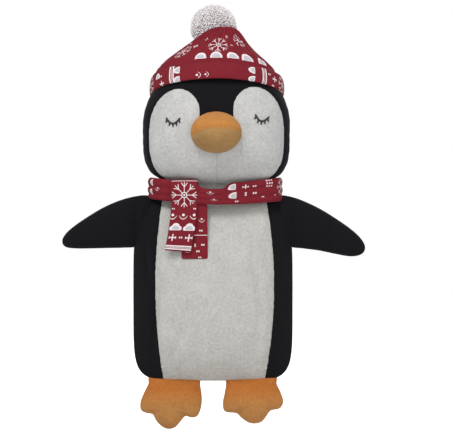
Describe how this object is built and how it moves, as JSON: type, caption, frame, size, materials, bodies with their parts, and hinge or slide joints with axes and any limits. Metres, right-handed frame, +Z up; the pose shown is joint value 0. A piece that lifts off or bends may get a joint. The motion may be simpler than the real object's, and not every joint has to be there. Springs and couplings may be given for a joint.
{
  "type": "plush penguin",
  "caption": "Soft plush penguin with a flat stuffed body, a beak, closed stitched eyes, folding wings and feet, a bobble hat and a scarf with loose ends.",
  "frame": {"origin": "at the level of the longest toe's tip, under the middle of the object's box", "axes": "+Z runs up from the toes to the pompom, -Y is the front with the beak, +X is the viewer's right from the front"},
  "size_m": [0.3335, 0.1352, 0.4681],
  "materials": {
    "black_plush": "near-black short-pile plush",
    "cream_plush": "pale warm grey short-pile plush",
    "white_plush": "off-white short-pile plush",
    "beak_plush_dark": "deep orange short-pile plush",
    "beak_plush_light": "light tan-orange short-pile plush",
    "foot_plush": "orange-tan short-pile plush",
    "printed_knit": "burgundy printed jersey with white and grey winter motifs",
    "yarn": "off-white and pale grey yarn",
    "thread": "black embroidery thread",
    "wadding": "white polyester wadding"
  },
  "bodies": {
    "torso": {"belly_panel": "cream_plush", "side_panel_left": "black_plush", "side_panel_right": "black_plush", "back_panel": "black_plush", "body_wadding": "wadding", "scarf_band": "printed_knit", "scarf_wrap": "printed_knit"},
    "head": {"face_panel_left": "white_plush", "face_panel_right": "white_plush", "forehead_panel": "black_plush", "head_back_left": "black_plush", "head_back_right": "black_plush", "head_wadding": "wadding", "eye_stitching_left": "thread", "eye_stitching_right": "thread", "beak_upper": "beak_plush_dark", "beak_lower": "beak_plush_light", "beak_wadding": "wadding", "hat_cuff": "printed_knit", "hat_crown": "printed_knit"},
    "pompom": {"pompom": "yarn", "pompom_tie": "yarn"},
    "wing_left": {"wing_left_front": "black_plush", "wing_left_back": "black_plush", "wing_left_wadding": "wadding"},
    "wing_right": {"wing_right_front": "black_plush", "wing_right_back": "black_plush", "wing_right_wadding": "wadding"},
    "foot_left": {"foot_left_top": "foot_plush", "foot_left_sole": "foot_plush", "foot_left_wadding": "wadding"},
    "foot_right": {"foot_right_top": "foot_plush", "foot_right_sole": "foot_plush", "foot_right_wadding": "wadding"},
    "scarf_rear": {"scarf_tail_rear": "printed_knit"},
    "scarf_front": {"scarf_tail_front": "printed_knit"}
  },
  "joints": [
    {"name": "neck_nod", "type": "hinge", "parent": "torso", "child": "head", "pos_m": [0.004, 0.0084, 0.319], "axis": [1, 0, 0], "range_deg": [-18, 18]},
    {"name": "pompom_tip", "type": "hinge", "parent": "head", "child": "pompom", "pos_m": [0.0005, 0.01814, 0.42717], "axis": [1, 0, 0], "range_deg": [-15, 15]},
    {"name": "wing_left_fold", "type": "hinge", "parent": "torso", "child": "wing_left", "pos_m": [-0.08587, 0.0084, 0.224], "axis": [0.1908, 0, 0.9816], "range_deg": [-60, 90]},
    {"name": "wing_right_fold", "type": "hinge", "parent": "torso", "child": "wing_right", "pos_m": [0.08587, 0.0084, 0.224], "axis": [0.1908, 0, -0.9816], "range_deg": [-60, 90]},
    {"name": "foot_left_fold", "type": "hinge", "parent": "torso", "child": "foot_left", "pos_m": [-0.0425, 0.0084, 0.05], "axis": [-1, 0, 0], "range_deg": [-75, 75]},
    {"name": "foot_right_fold", "type": "hinge", "parent": "torso", "child": "foot_right", "pos_m": [0.0425, 0.0084, 0.05], "axis": [-1, 0, 0], "range_deg": [-75, 75]},
    {"name": "scarf_rear_lift", "type": "hinge", "parent": "torso", "child": "scarf_rear", "pos_m": [0, -0.0232, 0.2494], "axis": [-1, 0, 0], "range_deg": [0, 60]},
    {"name": "scarf_front_lift", "type": "hinge", "parent": "scarf_rear", "child": "scarf_front", "pos_m": [0, -0.0232, 0.2494], "axis": [-1, 0, 0], "range_deg": [0, 30]}
  ]
}
